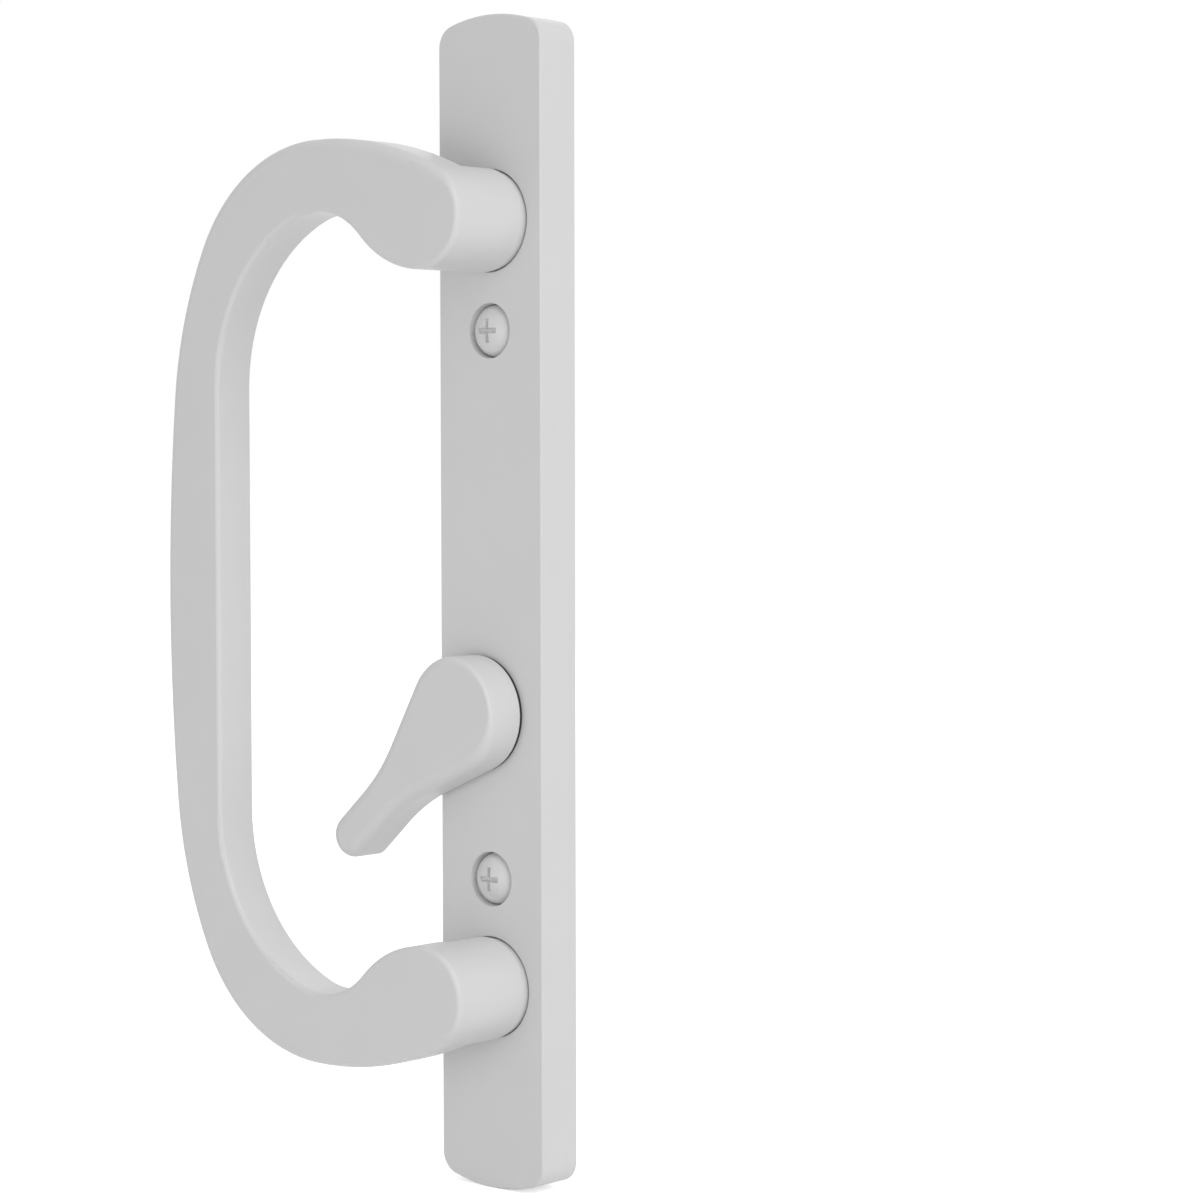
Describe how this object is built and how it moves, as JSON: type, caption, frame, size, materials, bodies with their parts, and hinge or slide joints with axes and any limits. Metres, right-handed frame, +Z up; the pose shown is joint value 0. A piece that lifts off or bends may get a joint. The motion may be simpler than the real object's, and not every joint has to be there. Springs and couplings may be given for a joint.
{
  "type": "sliding patio door handle",
  "caption": "White coated D-shaped sliding door pull on a long narrow plate with recessed screw holes and a teardrop thumb-turn lever that drives the door's lock.",
  "frame": {"origin": "on the back of the plate, midway between the two mounting screw holes", "axes": "+Z up along the plate, +Y out of the plate's back into the door, -Y towards the user, pull reaches out to -X"},
  "size_m": [0.081, 0.0392, 0.214],
  "materials": {
    "white_coated_zinc": "satin white powder coat on die-cast zinc",
    "plated_steel": "bright zinc plating",
    "spring_steel": "dark phosphate",
    "nylon": "black moulded nylon"
  },
  "bodies": {
    "handle": {"escutcheon_plate": "white_coated_zinc", "pull_handle": "white_coated_zinc", "pull_screws": "plated_steel", "pull_lock_washers": "spring_steel", "lever_thrust_washer": "nylon"},
    "lever": {"thumb_lever": "white_coated_zinc", "lever_spring_washer": "spring_steel", "lever_flat_washer": "plated_steel", "lever_retaining_ring": "spring_steel", "tailpiece": "plated_steel", "tailpiece_pin": "spring_steel"}
  },
  "joints": [
    {"name": "lever_turn", "type": "hinge", "parent": "handle", "child": "lever", "pos_m": [-0.0028, 0, -0.0197], "axis": [0, 1, 0], "range_deg": [0, 90]}
  ]
}
